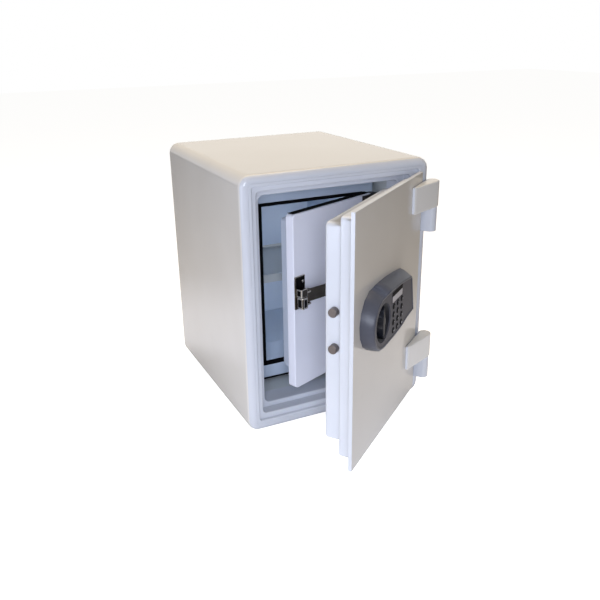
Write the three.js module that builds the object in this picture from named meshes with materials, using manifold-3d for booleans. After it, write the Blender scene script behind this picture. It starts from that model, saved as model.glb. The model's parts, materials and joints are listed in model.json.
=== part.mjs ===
// Fire-resistant home safe with an insulated media box inside and an electronic knob lock.
// Millimetres. X to the right, Y into the depth, Z up. Origin: centre of the underside.
import * as THREE from 'three';
import { mergeVertices } from 'three/addons/utils/BufferGeometryUtils.js';
import Module from 'manifold-3d';

const wasm = await Module();
wasm.setup();

// Driving dimensions of the cabinet
const WIDTH = 404;
const DEPTH = 445;
const HEIGHT = 520;
const FRONT = -DEPTH / 2;
const BACK = DEPTH / 2;
const CASE_CORNER = 22;
const CASE_FRONT_ROUND = 12;
const CASE_REAR_ROUND = 5;
const CASE_SHEET = 1.5;
const CASE_LIP = 15.5;
const REAR_COVER_DEPTH = 14;
const LINER_SHEET = 1.2;
const REAR_WALL = 52;
const SEAT = 0.3;

// Insets of the three frame steps from the cabinet's sides: left, right, bottom, top
const PLATE_STEP = [23, 23, 22, 22];
const MIDDLE_STEP = [34, 37, 33, 32.5];
const PLUG_STEP = [48, 50, 42, 46];
const PLATE_STEP_DEPTH = 8;
const MIDDLE_STEP_DEPTH = 32.5;
const FRAME_DEPTH = 77;
const FRAME_SHEET = 1.5;
const STEP_EDGE = 2.5;

// Main door, in its closed place
const DOOR_OPEN = 38.2;
const DOOR_HALF_WIDTH = WIDTH / 2 - 25;
const DOOR_BOTTOM = 24;
const DOOR_TOP = HEIGHT - 24;
const DOOR_PLATE = 7;
const DOOR_MIDDLE = 24.5;
const DOOR_PLUG = 35.4;
const DOOR_MIDDLE_INSET = [14.6, 14.6, 14.6, 12.5];
const DOOR_PLUG_INSET = [33.4, 33.4, 33.4, 29.5];
const DOOR_SHEET = 1.5;
const PLUG_EDGE = 5;
const CASING_CHAMFER = 3;

// Main hinge: the pin stands in front of the cabinet's right corner
const HINGE_X = WIDTH / 2;
const HINGE_Y = FRONT - 12.5;
const PIN_RADIUS = 4;
const PIN_LENGTH = 88;
const ARM_RADIUS = 12.6;
const ARM_HEIGHT = 53;
const ARM_REACH = 88;
const ARM_PROUD = 14.4;
const ARM_FOOT_PROUD = 8;
const KNUCKLE_RADIUS = 12.2;
const KNUCKLE_HEIGHT = 51;
const UPPER_HINGE_Z = HEIGHT - 96;
const LOWER_HINGE_Z = 94;

// Locking bolts and their drive
const KNOB_X = -WIDTH / 2 + 105;
const KNOB_Z = HEIGHT / 2 + 25;
const BOLT_RADIUS = 8.25;
const BOLT_Z = [KNOB_Z - 41, KNOB_Z + 27];
const BOLT_Y = FRONT + 48;
const BOLT_THROW = 12.5;
const BOLT_LENGTH = 35.4;
const CARRIAGE_SHEET = 3.5;
const KNOB_TURN = 90;
const CRANK_RADIUS = BOLT_THROW / 2 / Math.sin(THREE.MathUtils.degToRad(KNOB_TURN / 2));
const CRANK_PIN = 3;
const SPINDLE_RADIUS = 4;
const CHAMBER = {
  left: -WIDTH / 2 + 60, right: KNOB_X + 51, bottom: KNOB_Z - 65, top: KNOB_Z + 51, front: FRONT + 36,
};

// Lock housing, knob, display and keys
const LOCK_RISE = 25;
const LOCK_END_RADIUS = 50;
const LOCK_RIGHT_TOP = { x: KNOB_X + 154, z: KNOB_Z + 39 };
const LOCK_RIGHT_BOTTOM = { x: KNOB_X + 172, z: KNOB_Z - 38 };
const LOCK_WALL = 3;
const LOCK_RIM = 5;
const LOCK_DRAFT = 6;
const FACE_SHEET = 2.5;
const FACE_RECESS = 1.2;
const KNOB_RADIUS = 33;
const KNOB_WELL = 35.5;
const KEY_RADIUS = 5.8;
const KEY_TRAVEL = 1.5;
const KEY_RISE = 1.8;
const KEY_FLANGE = 1.6;
const KEY_PITCH_X = 22;
const KEY_PITCH_Z = 15.6;
const KEY_FIRST = { x: KNOB_X + 52, z: KNOB_Z + 12.5 };
const DISPLAY = { x: KNOB_X + 70, z: KNOB_Z + 31, width: 50, height: 15 };

// Media box: an insulated case that stands in the cabinet
const BOX = {
  left: -WIDTH / 2 + 55, right: WIDTH / 2 - 55, bottom: PLUG_STEP[2] + 7, top: HEIGHT - 57,
  front: FRONT + 122.5, back: BACK - 58.5,
};
const BOX_SHEET = 1.5;
const BOX_CORNER = 6;
const BOX_MOUTH = { left: BOX.left + 34, right: BOX.right - 34, bottom: BOX.bottom + 42, top: BOX.top - 33 };
const BOX_ROOM = {
  left: BOX_MOUTH.left + 12, right: BOX_MOUTH.right - 12, bottom: BOX_MOUTH.bottom + 17, top: BOX_MOUTH.top - 13,
};
const THROAT_DEPTH = 46;
const ROOM_BACK = BOX.back - 40;
const GASKET_WIDTH = [6.5, 6.5, 9, 6];
const GASKET_RISE = 6;
const SHELF_TOP = BOX_ROOM.bottom + 161;
const SHELF_FRONT = BOX.front + 42;
const SHELF_LIP = 18;

// Media box door, in its closed place
const BOX_DOOR_OPEN = 22.5;
const BOX_DOOR = {
  left: BOX_MOUTH.left - 10, right: BOX_MOUTH.right + 11, bottom: BOX_MOUTH.bottom - 15, top: BOX_MOUTH.top + 8,
};
const BOX_DOOR_FLANGE = 19.2;
const BOX_DOOR_PLUG = 36.5;
const BOX_DOOR_CORNER = 9;
const BOX_PLUG_GAP = [9, 9, 7, 5];
const BOX_HINGE_X = BOX.right - 16;
const BOX_HINGE_Y = BOX.front - 14;
const BOX_BARREL = 6;
const BOX_HINGE_HEIGHT = 16;
const BOX_HINGE_Z = { upper: BOX_DOOR.top - 18, lower: BOX_DOOR.bottom + 2 };

// Latch of the media box door
const LATCH = { x: BOX_DOOR.left + 16, z: BOX_DOOR.bottom + 200, width: 32, height: 74, plate: 3 };
const LATCH_PIVOT = { x: LATCH.x + 10, rise: 12 };
const LEVER_HEIGHT = 26;
const LEVER_REACH = 78;
const LEVER_SHEET = 3;
const LEVER_LEAN = 8;

const CORNER_STEPS = 4;
const EDGE_STEPS = 3;
const rad = THREE.MathUtils.degToRad;

// Outline of a rounded rectangle in the X-Z plane, counter-clockwise as seen from the front.
function ringPoints({ left, right, bottom, top, radius }, y) {
  const r = Math.max(radius, 0.4);
  const corners = [
    [right - r, bottom + r, -90], [right - r, top - r, 0],
    [left + r, top - r, 90], [left + r, bottom + r, 180],
  ];
  const points = [];
  for (const [cx, cz, start] of corners) {
    for (let i = 0; i <= CORNER_STEPS; i += 1) {
      const a = rad(start + (90 * i) / CORNER_STEPS);
      points.push([cx + r * Math.cos(a), y, cz + r * Math.sin(a)]);
    }
  }
  return points;
}

// Skin through rings of equal point count. An open stack is capped at both ends.
function skin(rings, closed) {
  const count = rings[0].length;
  const positions = rings.flat(2);
  const index = [];
  const last = closed ? rings.length : rings.length - 1;
  for (let i = 0; i < last; i += 1) {
    const a = i * count;
    const b = ((i + 1) % rings.length) * count;
    for (let j = 0; j < count; j += 1) {
      const k = (j + 1) % count;
      index.push(a + j, b + j, b + k, a + j, b + k, a + k);
    }
  }
  if (!closed) {
    const flat = (ring) => ring.map(([x, , z]) => new THREE.Vector2(x, z));
    const end = (rings.length - 1) * count;
    for (const [p, q, r] of THREE.ShapeUtils.triangulateShape(flat(rings[0]), [])) index.push(p, q, r);
    for (const [p, q, r] of THREE.ShapeUtils.triangulateShape(flat(rings[rings.length - 1]), [])) {
      index.push(end + p, end + r, end + q);
    }
  }
  const geometry = new THREE.BufferGeometry();
  geometry.setAttribute('position', new THREE.Float32BufferAttribute(positions, 3));
  geometry.setIndex(index);
  return geometry;
}

// Rings of a section that is swept round a rectangle. Each stop has its insets from the base
// rectangle, its depth y, the corner radius there and, where wanted, a rounded edge.
function sweepStops(base, stops, closed) {
  const rings = [];
  const at = (stop, shift, y) => ringPoints({
    left: base.left + stop.inset[0] + shift,
    right: base.right - stop.inset[1] - shift,
    bottom: base.bottom + stop.inset[2] + shift,
    top: base.top - stop.inset[3] - shift,
    radius: stop.corner - shift,
  }, y);
  const mean = (stop) => (stop.inset[0] + stop.inset[1] + stop.inset[2] + stop.inset[3]) / 4;
  const unit = (from, to) => {
    const v = new THREE.Vector2(mean(to) - mean(from), to.y - from.y);
    return v.normalize();
  };
  stops.forEach((stop, i) => {
    const before = stops[i - 1] ?? (closed ? stops[stops.length - 1] : null);
    const after = stops[i + 1] ?? (closed ? stops[0] : null);
    if (!stop.edge || !before || !after) {
      rings.push(at(stop, 0, stop.y));
      return;
    }
    const back = unit(stop, before);
    const on = unit(stop, after);
    for (let s = 0; s <= EDGE_STEPS; s += 1) {
      const a = (Math.PI / 2) * (s / EDGE_STEPS);
      const u = stop.edge * (1 - Math.sin(a));
      const v = stop.edge * (1 - Math.cos(a));
      rings.push(at(stop, u * back.x + v * on.x, stop.y + u * back.y + v * on.y));
    }
  });
  return rings;
}

const even = (value) => [value, value, value, value];
const more = (inset, extra) => inset.map((value) => value + extra);
const swept = (base, stops, closed = true) => skin(sweepStops(base, stops, closed), closed);

// One closed skin: shared corners, no empty triangles, facing outwards
function welded(geometry) {
  const bare = geometry.clone();
  bare.clearGroups();
  bare.deleteAttribute('normal');
  bare.deleteAttribute('uv');
  const merged = mergeVertices(bare, 1e-4);
  const p = merged.attributes.position;
  const kept = [];
  let volume = 0;
  const [a, b, c] = [new THREE.Vector3(), new THREE.Vector3(), new THREE.Vector3()];
  for (let t = 0; t < merged.index.count; t += 3) {
    const [i, j, k] = [0, 1, 2].map((n) => merged.index.getX(t + n));
    if (i === j || j === k || k === i) continue;
    kept.push([i, j, k]);
    a.fromBufferAttribute(p, i);
    b.fromBufferAttribute(p, j);
    c.fromBufferAttribute(p, k);
    volume += a.dot(b.cross(c));
  }
  merged.setIndex(kept.flatMap(([i, j, k]) => (volume < 0 ? [i, k, j] : [i, j, k])));
  return merged;
}

// Boolean work on closed geometries
function solid(geometry) {
  const skinned = welded(geometry);
  return new wasm.Manifold(new wasm.Mesh({
    numProp: 3,
    vertProperties: new Float32Array(skinned.attributes.position.array),
    triVerts: new Uint32Array(skinned.index.array),
  }));
}

function shaped(manifold) {
  const mesh = manifold.getMesh();
  const geometry = new THREE.BufferGeometry();
  geometry.setAttribute('position', new THREE.BufferAttribute(mesh.vertProperties, 3));
  geometry.setIndex(new THREE.BufferAttribute(mesh.triVerts, 1));
  return geometry;
}

const cut = (body, ...tools) => shaped(tools.reduce((m, tool) => m.subtract(solid(tool)), solid(body)));
const join = (body, ...others) => shaped(others.reduce((m, other) => m.add(solid(other)), solid(body)));

// Plain stock
function block(left, right, front, back, bottom, top) {
  const geometry = new THREE.BoxGeometry(right - left, back - front, top - bottom);
  return geometry.translate((left + right) / 2, (front + back) / 2, (bottom + top) / 2);
}

function rod(radius, length, segments = 24) {
  return new THREE.CylinderGeometry(radius, radius, length, segments);
}

// A round bar along Y from front to back at (x, z)
function barAlongY(radius, x, z, front, back, segments = 24) {
  return rod(radius, back - front, segments).translate(x, (front + back) / 2, z);
}

// A round bar along Z from bottom to top at (x, y)
function barAlongZ(radius, x, y, bottom, top, segments = 24) {
  return rod(radius, top - bottom, segments).rotateX(Math.PI / 2).translate(x, y, (bottom + top) / 2);
}

// A turned part about the Y axis: profile pairs are radius and depth, starting and ending on the axis
function turnedAlongY(profile, x, z, segments = 28) {
  const points = profile.map(([r, y]) => new THREE.Vector2(r, y));
  return new THREE.LatheGeometry(points, segments).translate(x, 0, z);
}

function arcPoints(cx, cy, radius, from, to, steps) {
  return Array.from({ length: steps + 1 }, (_, i) => {
    const a = rad(from + ((to - from) * i) / steps);
    return new THREE.Vector2(cx + radius * Math.cos(a), cy + radius * Math.sin(a));
  });
}

// The outline as points, without any that lie on top of each other
function cleanPoints(outline, curve) {
  const points = outline.extractPoints(curve).shape;
  return points.filter((p, i) => p.distanceTo(points[(i + 1) % points.length]) > 0.02);
}

// A plan outline (X-Y) raised from bottom to top, its edges rounded by the given amount
function raised(outline, bottom, top, edge = 0, edgeSteps = 2, curve = 6) {
  const geometry = new THREE.ExtrudeGeometry(new THREE.Shape(cleanPoints(outline, curve)), {
    depth: top - bottom - 2 * edge,
    bevelEnabled: edge > 0,
    bevelThickness: edge,
    bevelSize: edge,
    bevelOffset: -edge,
    bevelSegments: edgeSteps,
  });
  return geometry.translate(0, 0, bottom + edge);
}

// A front outline (X-Z) that goes back from y = front to y = back
function faced(outline, front, back, edge = 0, edgeSteps = 2, curve = 3) {
  const geometry = raised(outline, 0, back - front, edge, edgeSteps, curve);
  return geometry.rotateX(Math.PI / 2).translate(0, back, 0);
}

function roundedRect(left, right, bottom, top, r) {
  const shape = new THREE.Shape();
  shape.moveTo(left + r, bottom);
  shape.lineTo(right - r, bottom);
  shape.absarc(right - r, bottom + r, r, -Math.PI / 2, 0);
  shape.lineTo(right, top - r);
  shape.absarc(right - r, top - r, r, 0, Math.PI / 2);
  shape.lineTo(left + r, top);
  shape.absarc(left + r, top - r, r, Math.PI / 2, Math.PI);
  shape.lineTo(left, bottom + r);
  shape.absarc(left + r, bottom + r, r, Math.PI, 1.5 * Math.PI);
  return shape;
}

// Finishes
const finish = (color, roughness, metalness) => new THREE.MeshStandardMaterial({ color, roughness, metalness });
const whiteEnamel = finish(0xe9e7e3, 0.28, 0);
const coolEnamel = finish(0xdfe2ea, 0.3, 0);
const linerPaint = finish(0xb4bcc6, 0.45, 0);
const boxPaint = finish(0xc3cbd9, 0.38, 0);
const mineralFill = finish(0xc9c4b8, 0.95, 0);
const zincSteel = finish(0x9c9b98, 0.35, 1);
const darkSteel = finish(0x3c3937, 0.4, 0.9);
const nickel = finish(0x8a8478, 0.15, 1);
const blackRubber = finish(0x111114, 0.75, 0);
const greyPlastic = finish(0x75757c, 0.35, 0.1);
const facePlastic = finish(0x7d7c82, 0.4, 0.1);
const blackPlastic = finish(0x15151a, 0.25, 0);
const displayGlass = finish(0xb9bcc0, 0.15, 0);
const boardGreen = finish(0x2c5a3c, 0.6, 0);
const batteryBlue = finish(0x2f4f86, 0.5, 0);

const safe = new THREE.Group();

function piece(group, name, geometry, material) {
  const mesh = new THREE.Mesh(welded(geometry), material);
  mesh.name = name;
  group.add(mesh);
  return mesh;
}

// A group that is modelled closed and stands turned about a vertical pin
function swinging(x, y, degrees) {
  const turned = new THREE.Group();
  turned.position.set(x, y, 0);
  turned.rotation.z = rad(degrees);
  const closed = new THREE.Group();
  closed.position.set(-x, -y, 0);
  turned.add(closed);
  safe.add(turned);
  return closed;
}

// Cabinet shells
const cabinet = { left: -WIDTH / 2, right: WIDTH / 2, bottom: 0, top: HEIGHT };
const caseEnd = BACK - REAR_COVER_DEPTH;

function outerCase() {
  const inner = CASE_CORNER;
  return swept(cabinet, [
    { inset: even(CASE_LIP), y: FRONT, corner: inner - CASE_LIP },
    { inset: even(0), y: FRONT, corner: inner, edge: CASE_FRONT_ROUND },
    { inset: even(0), y: caseEnd, corner: inner },
    { inset: even(CASE_SHEET), y: caseEnd, corner: inner - CASE_SHEET },
    { inset: even(CASE_SHEET), y: FRONT + CASE_SHEET, corner: inner - CASE_SHEET,
      edge: CASE_FRONT_ROUND - CASE_SHEET },
    { inset: even(CASE_LIP), y: FRONT + CASE_SHEET, corner: inner - CASE_LIP },
  ]);
}

function rearCover() {
  const start = caseEnd + SEAT;
  return swept(cabinet, [
    { inset: even(CASE_REAR_ROUND), y: BACK - CASE_SHEET, corner: CASE_CORNER - CASE_REAR_ROUND },
    { inset: even(CASE_SHEET), y: BACK - CASE_REAR_ROUND, corner: CASE_CORNER - CASE_SHEET },
    { inset: even(CASE_SHEET), y: start, corner: CASE_CORNER - CASE_SHEET },
    { inset: even(0), y: start, corner: CASE_CORNER },
    { inset: even(0), y: BACK, corner: CASE_CORNER, edge: CASE_REAR_ROUND },
    { inset: even(CASE_REAR_ROUND + 4), y: BACK, corner: CASE_CORNER - CASE_REAR_ROUND - 4 },
  ], false);
}

function frontFrame() {
  const lip = CASE_LIP + SEAT;
  const plateY = FRONT + PLATE_STEP_DEPTH;
  const middleY = FRONT + MIDDLE_STEP_DEPTH;
  const end = FRONT + FRAME_DEPTH;
  const t = FRAME_SHEET;
  return swept(cabinet, [
    { inset: even(lip), y: FRONT, corner: 6 },
    { inset: even(lip), y: FRONT + t, corner: 6 },
    { inset: more(PLATE_STEP, -t), y: FRONT + t, corner: 6 },
    { inset: more(PLATE_STEP, -t), y: plateY + t, corner: 6 },
    { inset: more(MIDDLE_STEP, -t), y: plateY + t, corner: 9 },
    { inset: more(MIDDLE_STEP, -t), y: middleY + t, corner: 9 },
    { inset: more(PLUG_STEP, -t), y: middleY + t, corner: 12 },
    { inset: more(PLUG_STEP, -t), y: end, corner: 12 },
    { inset: PLUG_STEP, y: end, corner: 11 },
    { inset: PLUG_STEP, y: middleY, corner: 11, edge: STEP_EDGE },
    { inset: MIDDLE_STEP, y: middleY, corner: 8 },
    { inset: MIDDLE_STEP, y: plateY, corner: 8, edge: STEP_EDGE },
    { inset: PLATE_STEP, y: plateY, corner: 5 },
    { inset: PLATE_STEP, y: FRONT, corner: 5, edge: STEP_EDGE },
  ]);
}

// The keeper is a steel channel behind the left jamb. The bolts enter it through two round-ended slots.
const jambX = cabinet.left + PLUG_STEP[0];
const keeperHalfZ = 22;
const pocketRadius = BOLT_RADIUS + 3;

function boltSlots(left, right) {
  return BOLT_Z.map((z) => {
    const slot = roundedRect(BOLT_Y - pocketRadius - 1, BOLT_Y + pocketRadius, z - pocketRadius, z + pocketRadius, 5);
    return raised(slot, left, right, 0, 1, 3).rotateX(Math.PI / 2).rotateZ(Math.PI / 2);
  });
}

const linerOuter = LINER_SHEET;
const linerBack = BACK - REAR_WALL;

function cavityLiner() {
  const start = FRONT + FRAME_DEPTH + SEAT;
  return swept(cabinet, [
    { inset: PLUG_STEP, y: linerBack, corner: 9 },
    { inset: PLUG_STEP, y: start, corner: 9 },
    { inset: more(PLUG_STEP, -linerOuter), y: start, corner: 10 },
    { inset: more(PLUG_STEP, -linerOuter), y: linerBack + linerOuter, corner: 10 },
  ], false);
}

const keeperBox = {
  left: jambX - 22, right: jambX - FRAME_SHEET - SEAT,
  front: FRONT + MIDDLE_STEP_DEPTH + FRAME_SHEET + SEAT, back: BOLT_Y + pocketRadius + 4,
  bottom: BOLT_Z[0] - keeperHalfZ, top: BOLT_Z[1] + keeperHalfZ,
};

function boltKeeper() {
  const k = keeperBox;
  const wall = 3;
  const channel = block(k.left, k.right, k.front, k.back, k.bottom, k.top);
  const hollow = block(k.left + wall, k.right + 1, k.front + wall, k.back - wall, k.bottom - 1, k.top + 1);
  return cut(channel, hollow);
}

function cabinetInsulation() {
  const gap = SEAT;
  const shell = more(even(CASE_SHEET), gap);
  const corner = CASE_CORNER - CASE_SHEET;
  const t = FRAME_SHEET + gap;
  const start = FRONT + CASE_SHEET + CASE_FRONT_ROUND;
  const plateY = FRONT + PLATE_STEP_DEPTH + t;
  const middleY = FRONT + MIDDLE_STEP_DEPTH + t;
  const linerSide = more(PLUG_STEP, -linerOuter - gap - 0.5);
  const middleSide = more(MIDDLE_STEP, -t);
  const fill = swept(cabinet, [
    { inset: linerSide, y: linerBack + linerOuter + gap, corner: 10 },
    { inset: linerSide, y: middleY, corner: 10 },
    { inset: middleSide, y: middleY, corner: 9 },
    { inset: middleSide, y: start, corner: 9 },
    { inset: shell, y: start, corner },
    { inset: shell, y: caseEnd, corner },
    { inset: more(shell, 1), y: BACK - CASE_SHEET - CASE_REAR_ROUND, corner: corner - 1 },
    { inset: more(shell, CASE_REAR_ROUND), y: BACK - CASE_SHEET - gap - 0.4, corner: corner - CASE_REAR_ROUND },
  ], false);
  const k = keeperBox;
  const pocket = block(k.left - gap, k.right + 20, k.front - gap, k.back + gap, k.bottom - gap, k.top + gap);
  return cut(fill, pocket);
}

piece(safe, 'outer_case', outerCase(), whiteEnamel);
piece(safe, 'rear_cover', rearCover(), whiteEnamel);
piece(safe, 'front_frame', cut(frontFrame(), ...boltSlots(jambX - 10, jambX + 10)), coolEnamel);
piece(safe, 'cavity_liner', cavityLiner(), linerPaint);
piece(safe, 'bolt_keeper', boltKeeper(), zincSteel);
piece(safe, 'cabinet_insulation', cabinetInsulation(), mineralFill);

// Main hinges. The knuckle is fixed to the cabinet's front edge, and the arm to the door.
function knuckleOutline() {
  const face = FRONT - SEAT;
  const roundX = WIDTH / 2 - CASE_FRONT_ROUND;
  const roundY = FRONT + CASE_FRONT_ROUND;
  const foot = roundX - 9;
  return new THREE.Shape([
    new THREE.Vector2(foot, face),
    new THREE.Vector2(foot, face - 4.5),
    ...arcPoints(HINGE_X, HINGE_Y, KNUCKLE_RADIUS, 230, 440, 14),
    ...arcPoints(roundX, roundY, CASE_FRONT_ROUND + SEAT, -40, -90, 3),
  ]);
}

function armOutline() {
  const foot = HINGE_X - ARM_REACH;
  const skinY = FRONT - SEAT;
  const clearY = FRONT - 1;
  const plateEdge = DOOR_HALF_WIDTH - 1;
  const noseX = HINGE_X + ARM_RADIUS - ARM_PROUD;
  return new THREE.Shape([
    new THREE.Vector2(foot, skinY),
    new THREE.Vector2(foot, FRONT - ARM_FOOT_PROUD + 3),
    new THREE.Vector2(foot + 4, FRONT - ARM_FOOT_PROUD),
    new THREE.Vector2(HINGE_X - 10, HINGE_Y - ARM_PROUD + 0.6),
    ...arcPoints(noseX, HINGE_Y, ARM_PROUD, -90, 0, 8),
    ...arcPoints(HINGE_X, HINGE_Y, ARM_RADIUS, 0, 128, 9),
    new THREE.Vector2(plateEdge, clearY),
    new THREE.Vector2(plateEdge, skinY),
  ]);
}

for (const [name, z] of [['upper', UPPER_HINGE_Z], ['lower', LOWER_HINGE_Z]]) {
  const below = z - SEAT;
  const pinBottom = below - KNUCKLE_HEIGHT + 4;
  const bore = barAlongZ(PIN_RADIUS + SEAT, HINGE_X, HINGE_Y, pinBottom - SEAT, z);
  const knuckle = raised(knuckleOutline(), below - KNUCKLE_HEIGHT, below, 1, 1);
  piece(safe, `hinge_knuckle_${name}`, cut(knuckle, bore), whiteEnamel);
  const pin = barAlongZ(PIN_RADIUS, HINGE_X, HINGE_Y, pinBottom, pinBottom + PIN_LENGTH);
  piece(safe, `hinge_pin_${name}`, pin, zincSteel);
}

// Main door
const mainDoor = swinging(HINGE_X, HINGE_Y, DOOR_OPEN);
const doorPlate = { left: -DOOR_HALF_WIDTH, right: DOOR_HALF_WIDTH, bottom: DOOR_BOTTOM, top: DOOR_TOP };
const plateBack = FRONT + DOOR_PLATE;
const middleBack = plateBack + DOOR_MIDDLE;
const plugBack = middleBack + DOOR_PLUG;
const plugSide = -DOOR_HALF_WIDTH + DOOR_PLUG_INSET[0];

function doorSkin() {
  const t = DOOR_SHEET;
  return swept(doorPlate, [
    { inset: even(6), y: FRONT, corner: 0.5 },
    { inset: even(0), y: FRONT, corner: 1.2, edge: 0.8 },
    { inset: even(0), y: plateBack, corner: 1.2 },
    { inset: even(t), y: plateBack, corner: 0.5 },
    { inset: even(t), y: FRONT + t, corner: 0.5 },
  ], false);
}

function doorCasing() {
  const t = DOOR_SHEET;
  const flange = t + SEAT;
  return swept(doorPlate, [
    { inset: more(DOOR_PLUG_INSET, t + CASING_CHAMFER), y: plugBack - t, corner: 4 },
    { inset: more(DOOR_PLUG_INSET, t), y: plugBack - t - CASING_CHAMFER, corner: 7.5 },
    { inset: more(DOOR_PLUG_INSET, t), y: middleBack - t, corner: 7.5 },
    { inset: more(DOOR_MIDDLE_INSET, t), y: middleBack - t, corner: 6 },
    { inset: more(DOOR_MIDDLE_INSET, t), y: plateBack - t, corner: 6 },
    { inset: even(flange), y: plateBack - t, corner: 0.5 },
    { inset: even(flange), y: plateBack, corner: 0.5 },
    { inset: DOOR_MIDDLE_INSET, y: plateBack, corner: 7 },
    { inset: DOOR_MIDDLE_INSET, y: middleBack, corner: 7, edge: STEP_EDGE },
    { inset: DOOR_PLUG_INSET, y: middleBack, corner: 9 },
    { inset: DOOR_PLUG_INSET, y: plugBack, corner: 9, edge: PLUG_EDGE },
    { inset: more(DOOR_PLUG_INSET, PLUG_EDGE + 3), y: plugBack, corner: 1 },
  ], false);
}

function doorInsulation() {
  const g = DOOR_SHEET + SEAT;
  const fill = swept(doorPlate, [
    { inset: even(g), y: FRONT + g, corner: 0.5 },
    { inset: even(g), y: plateBack - g, corner: 0.5 },
    { inset: more(DOOR_MIDDLE_INSET, g), y: plateBack - g, corner: 6 },
    { inset: more(DOOR_MIDDLE_INSET, g), y: middleBack - g, corner: 6 },
    { inset: more(DOOR_PLUG_INSET, g), y: middleBack - g, corner: 8 },
    { inset: more(DOOR_PLUG_INSET, g), y: plugBack - PLUG_EDGE, corner: 8 },
    { inset: more(DOOR_PLUG_INSET, PLUG_EDGE), y: plugBack - g, corner: 4 },
  ], false);
  const c = CHAMBER;
  const chamber = block(c.left - 10, c.right, c.front, plugBack, c.bottom, c.top);
  return cut(fill, chamber, barAlongY(SPINDLE_RADIUS + 1.5, KNOB_X, KNOB_Z, FRONT - 5, c.front + 2, 12));
}

const spindleHole = (front, back) => barAlongY(SPINDLE_RADIUS + 0.6, KNOB_X, KNOB_Z, front, back, 16);
const boltBores = (left, right) => BOLT_Z.map((z) => rod(BOLT_RADIUS + SEAT, right - left, 28)
  .rotateZ(Math.PI / 2).translate((left + right) / 2, BOLT_Y, z));

piece(mainDoor, 'door_skin', cut(doorSkin(), spindleHole(FRONT - 2, FRONT + 4)), whiteEnamel);
piece(mainDoor, 'door_casing', cut(doorCasing(), ...boltBores(plugSide - 4, plugSide + 6)), coolEnamel);
piece(mainDoor, 'door_insulation', doorInsulation(), mineralFill);

for (const [name, z] of [['upper', UPPER_HINGE_Z], ['lower', LOWER_HINGE_Z]]) {
  const pinTop = z - SEAT - KNUCKLE_HEIGHT + 4 + PIN_LENGTH;
  const bore = barAlongZ(PIN_RADIUS + SEAT, HINGE_X, HINGE_Y, z - 1, pinTop + SEAT);
  const arm = raised(armOutline(), z, z + ARM_HEIGHT, 2.5);
  piece(mainDoor, `hinge_arm_${name}`, cut(arm, bore), whiteEnamel);
}

// Boltwork in the door's chamber
const chamberPlateBack = CHAMBER.front + SEAT + 2;

function boltworkPlate() {
  const c = CHAMBER;
  const plate = block(c.left + 4, c.right - SEAT, c.front + SEAT, chamberPlateBack, c.bottom + SEAT, c.top - SEAT);
  return cut(plate, spindleHole(c.front, chamberPlateBack + 1));
}

const guideRight = plugSide + DOOR_SHEET + SEAT + 12;

function boltGuide() {
  const low = BOLT_Z[0] - 15;
  const high = BOLT_Z[1] + 15;
  const back = plugBack - DOOR_SHEET - SEAT - CASING_CHAMFER;
  const body = block(plugSide + DOOR_SHEET + SEAT, guideRight, chamberPlateBack + SEAT, back, low, high);
  return cut(body, ...boltBores(plugSide, guideRight + 1));
}

const boltTip = plugSide - BOLT_THROW + 0.5;
const boltEnd = boltTip + BOLT_LENGTH;
const flangeX = boltEnd + SEAT;
const webBack = plugBack - DOOR_SHEET - 1.5;
const crankPlaneFront = chamberPlateBack + 8;
const slotX = KNOB_X - BOLT_THROW / 2;

function boltCarriage() {
  const t = CARRIAGE_SHEET;
  const low = BOLT_Z[0] - 11;
  const high = BOLT_Z[1] + 11;
  const webFront = webBack - t;
  const flange = block(flangeX, flangeX + t, BOLT_Y - 9, webBack, low, high);
  const web = block(flangeX + t / 2, slotX + 20, webFront, webBack, low + 14, high);
  const rise = CRANK_RADIUS * Math.cos(rad(KNOB_TURN / 2));
  const slot = faced(roundedRect(slotX - CRANK_PIN - 0.6, slotX + CRANK_PIN + 0.6,
    KNOB_Z + rise - CRANK_PIN - 0.8, KNOB_Z + CRANK_RADIUS + CRANK_PIN + 0.8, CRANK_PIN), webFront - 1, webBack + 1);
  return cut(join(flange, web), slot);
}

function lockingBolt(z) {
  const profile = [[0, 0], [BOLT_RADIUS - 1.5, 0], [BOLT_RADIUS, 1.5], [BOLT_RADIUS, BOLT_LENGTH], [0, BOLT_LENGTH]];
  const points = profile.map(([r, y]) => new THREE.Vector2(r, y));
  return new THREE.LatheGeometry(points, 28).rotateZ(-Math.PI / 2).translate(boltTip, BOLT_Y, z);
}

piece(mainDoor, 'boltwork_plate', boltworkPlate(), zincSteel);
piece(mainDoor, 'bolt_guide', boltGuide(), zincSteel);
piece(mainDoor, 'bolt_carriage', boltCarriage(), zincSteel);
piece(mainDoor, 'locking_bolt_lower', lockingBolt(BOLT_Z[0]), zincSteel);
piece(mainDoor, 'locking_bolt_upper', lockingBolt(BOLT_Z[1]), zincSteel);

const actuator = roundedRect(KNOB_X + 20, CHAMBER.right - 3, CHAMBER.bottom + 6, KNOB_Z - 28, 3);
piece(mainDoor, 'lock_actuator', faced(actuator, chamberPlateBack + SEAT, chamberPlateBack + 14), darkSteel);

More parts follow.
